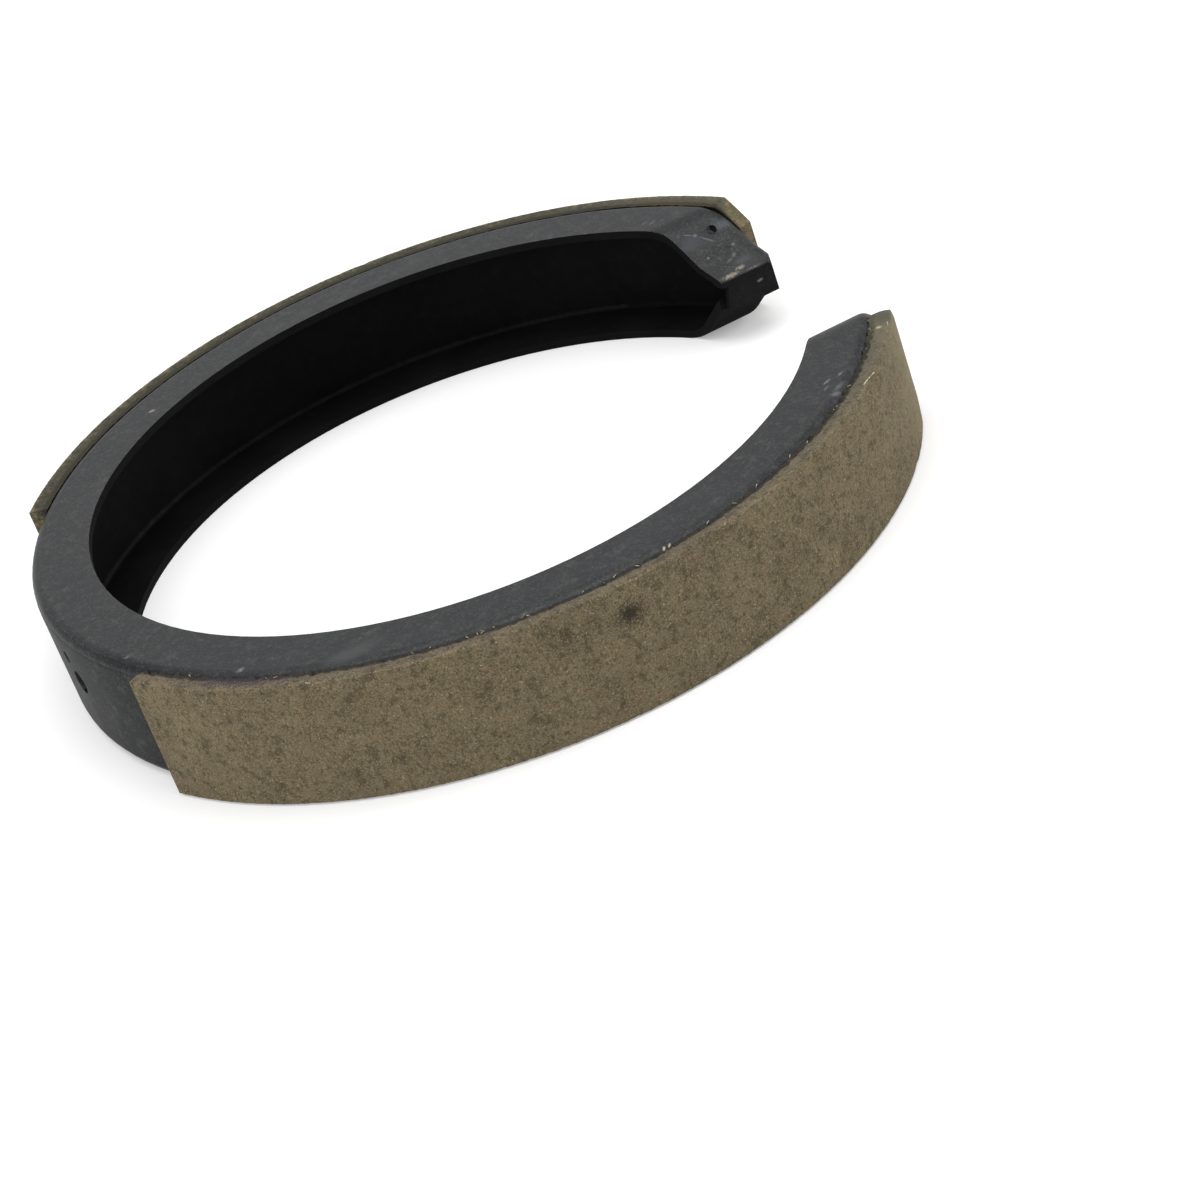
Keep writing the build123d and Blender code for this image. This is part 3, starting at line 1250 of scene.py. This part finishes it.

# Rubs, scratches, pale tan marks and stray fibres on the flanges and the noses, and on the nose painted
# shade in dents, painted highlights and painted sheen.
RIM_MARKS = (
    # The nose of arm A: bluish sheen, which is painted reflection, a darker patch, the
    # star of its punch mark and a dent, both darkened with painted shade, a scratch down
    # the joggle, painted highlights on the dent's rim, and pale tan marks along the fold.
    # Painted sheen: bluish grey reflections on the nose.
    Spot((89.8, 37.1, 11.7), (3.4, 1.8, 2.0), "#4c5056", 0.8, 1.2),
    Spot((80.5, 36.4, 11.0), (4.0, 2.6, 2.8), BLUISH_SHEEN, 0.6, 1.2),
    Spot((89.0, 28.5, 4.8), (3.2, 1.8, 1.4), BLUISH_SHEEN, 0.9, 1.2),
    Spot((93.1, 33.0, 7.9), (2.4, 2.8, 2.6), "#1a1a18", 0.8, 1.0),
    # Painted shade in the star of the punch mark.
    Spot((86.4, 37.2, 11.8), (0.8, 0.8, 0.8), DENT_SHADE, 1.0, 0.3),
    Spot.stroke((85.3, 38.1, 12.8), (86.9, 36.7, 11.3), 0.8, DENT_SHADE, 1.0, 0.2),
    Spot.stroke((86.5, 38.4, 12.9), (86.3, 36.6, 11.2), 0.8, DENT_SHADE, 1.0, 0.2),
    Spot.stroke((87.7, 37.6, 12.0), (85.9, 36.9, 11.6), 0.8, DENT_SHADE, 1.0, 0.2),
    Spot.stroke((79.1, 38.7, 13.1), (82.1, 37.3, 12.0), 0.5, SCRATCH, 0.9, 0.5),
    Spot((82.1, 37.3, 12.0), (0.9, 0.5, 0.5), PALE, 0.6),
    Spot.stroke((82.1, 37.3, 12.0), (86.5, 34.2, 8.9), 0.5, SCRATCH, 0.9),
    # Painted shade in the dent.
    Spot.stroke((86.3, 33.6, 8.4), (89.6, 31.9, 6.8), 1.1, DENT_SHADE, 1.0, 0.4),
    # Painted highlights on the dent's rim.
    Spot((89.3, 32.8, 7.65), (0.7, 0.5, 0.5), PALE, 0.6),
    Spot.stroke((88.7, 31.3, 6.4), (87.2, 30.1, 5.6), 1.2, PALE, 0.5, 0.8),
    Spot.stroke((87.6, 30.3, 5.7), (85.0, 29.5, 5.4), 1.1, SCRATCH, 0.6, 0.8),
    Spot((82.0, 32.4, 7.3), (0.6, 0.5, 0.4), PALE, 0.6),
    # Pale tan marks by and along the fold.
    Spot((87.4, 27.0, 3.95), (1.7, 0.9, 0.7), PALE_TAN, 0.8, 1.0),
    Spot.stroke((80.8, 26.1, 3.4), (87.4, 26.2, 3.4), 1.7, PALE_TAN, 0.9, 0.9),
    Spot.stroke((85.6, 25.9, 3.0), (94.6, 25.9, 3.0), 0.8, PALE_TAN, 0.9, 0.7),
    Spot((90.6, 25.4, -0.6), (1.1, 0.6, 0.5), PALE, 0.8),
    # The far flange.
    Spot.stroke((74.4, 47.4, 15.1), (77.9, 49.0, 15.1), 0.8, SCRATCH, 0.9),
    Spot.stroke((73.4, 49.4, 15.1), (76.0, 50.6, 15.1), 0.6, SCRATCH, 0.8),
    Spot((62.1, 59.4, 15.1), (0.8, 0.6, 0.5), SCRATCH, 0.8),
    Spot((-51.9, 74.7, 15.1), (1.3, 0.8, 0.5), PALE_TAN, 1.0, 0.4),
    # The near flange.
    Spot((-90.3, -38.1, 15.1), (1.0, 0.7, 0.5), SCRATCH, 0.9),
    Spot((-72.3, -65.9, 15.1), (1.3, 0.9, 0.5), PALE, 0.8, 0.8),
    Spot((-52.0, -80.5, 15.1), (9.0, 3.5, 0.6), "#3c3d3d", 0.8, 1.2),
    Spot.stroke((66.2, -66.8, 15.1), (69.0, -65.4, 15.1), 1.1, PALE, 0.8, 1.1),
    Spot.stroke((65.2, -69.4, 15.1), (67.2, -67.8, 15.1), 1.0, SCRATCH, 0.8, 1.1),
    Spot.stroke((70.0, -66.3, 15.1), (72.2, -65.0, 15.1), 1.0, PALE, 0.8, 1.0),
    Spot.stroke((66.0, -72.2, 15.1), (70.6, -68.6, 15.1), 1.6, SCRATCH, 0.8, 1.1),
    Spot((66.5, -72.6, 14.9), (2.0, 1.2, 0.7), PALE, 0.6, 1.2),
    Spot.stroke((12.2, -99.1, 14.2), (13.1, -97.9, 14.8), 0.8, FIBRE, 1.0, 0.3),
    Spot.stroke((13.5, -98.9, 14.2), (14.5, -97.7, 14.8), 0.7, FIBRE, 1.0, 0.3),
)

# A pale clip, and dirt and a brown stain on the upper lining's side.
UPPER_MARKS = (
    Spot((95.9, 41.3, 11.4), (5.0, 5.0, 6.5), "#5b5840", 0.7, 0.4),
    Spot.stroke((93.7, 37.2, 10.0), (93.7, 37.2, -12.0), 3.6, "#2e291b", 0.8, 0.5),
    Spot.stroke((76.0, 66.8, 14.2), (91.8, 42.0, 13.6), 4.2, "#4b3823", 0.9),
)

# Stains, chips, stray fibres and a patch of painted light on the lower lining.
LINING_MARKS = (
    Spot.stroke((-85.2, -57.0, 14.3), (-62.0, -81.6, 14.3), 6.0, "#393138", 0.75, 0.9),
    Spot((0.0, -104.5, 8.0), (6.4, 1.8, 5.0), "#3c3427", 0.6, 0.9),
    Spot((0.0, -104.5, 8.0), (3.3, 1.2, 2.7), "#29241c", 0.85, 0.7),
    Spot((-13.4, -103.6, 9.3), (2.4, 1.2, 2.0), "#40382a", 0.5, 0.9),
    Spot((15.5, -103.4, 9.8), (4.6, 1.8, 2.2), "#4a3d2b", 0.4, 1.0),
    # The nose end, paler on its face with painted light, and greyer on its side.
    Spot((100.0, -42.0, 0.0), (30.0, 30.0, 60.0), "#928769", 0.35, 0.3),
    Spot((90.6, -49.6, 14.7), (5.5, 6.5, 2.2), "#4f5046", 0.9, 0.3),
    Spot((-40.9, -96.1, 9.9), (1.4, 1.0, 1.1), "#352f24", 0.6, 0.9),
    Spot((-47.4, -93.1, 9.5), (1.3, 1.0, 1.0), "#352f24", 0.6, 0.9),
    Spot((87.1, -53.4, 14.7), (0.9, 0.9, 0.5), FIBRE, 0.8, 0.8),
    Spot((93.5, -45.5, 13.5), (1.2, 1.4, 1.2), FIBRE, 0.5, 1.0),
)


def main() -> None:
    """Build the pieces in order and report each.
    """
    logging.basicConfig(level=logging.INFO, format="%(name)s: %(message)s")
    Studio().build()
    rim = Rim().dress(
        {
            Coat.FLANGE: BlackPaint(marks=RIM_MARKS),
            # Painted shade: the bends and the wall reflect less than the flange.
            Coat.BEND: BlackPaint(name="bend_black_ecoat", gloss=0.24, marks=RIM_MARKS),
            Coat.WALL: BlackPaint(
                name="wall_black_ecoat", gloss=0.11, roughness=0.5, dull_roughness=0.62
            ),
            # Painted shade: a darker copy that hardly reflects, inside the channel.
            Coat.CHANNEL: BlackPaint(
                name="shaded_black_ecoat",
                colour="#131314",
                worn_colour="#181818",
                gloss=0.02,
                roughness=0.6,
                dull_roughness=0.7,
                dust=0.0,
            ),
            # Painted shade: the darkest copy, on the end plates; on the channel's lower bend it reflects
            # more than the channel's copy, a painted highlight.
            Coat.PLATE: BlackPaint(
                name="plate_black_ecoat",
                colour="#0d0d0e",
                worn_colour="#151515",
                gloss=0.09,
                roughness=0.55,
                dull_roughness=0.65,
                dust=0.1,
                marks=RIM_MARKS,
            ),
        }
    )
    log.info("%s: %d faces", rim.name, len(rim.data.polygons))
    dark_sided = FrictionComposite(
        name="dark_sided_composite",
        sawn=Palette("#4c4a3a", "#66634f", "#34322a", "#2c2a22", "#8f8a72"),
        overspray="#33322c",
        sprayed=0.5,
        seat_line="#302d22",
        marks=UPPER_MARKS,
    )
    upper = Lining(
        "lining_upper",
        "lining_a",
        nose=21.68,
        heel=150.2,
        clip=6.2,
        seed=11.0,
        fray=0.05,
        chips=0.3,
    )
    lower = Lining("lining_lower", "lining_b", nose=-24.776, heel=-152.6, clip=4.4, seed=47.0)
    marked = FrictionComposite(marks=LINING_MARKS)
    for lining, composite in ((upper, dark_sided), (lower, marked)):
        piece = lining.dress(composite.build())
        log.info("%s: %d faces", piece.name, len(piece.data.polygons))
    hairs = Hairs().dress(AramidFibre())
    log.info("%s: %d strands", hairs.name, len(hairs.data.splines))


if __name__ == "__main__":
    main()
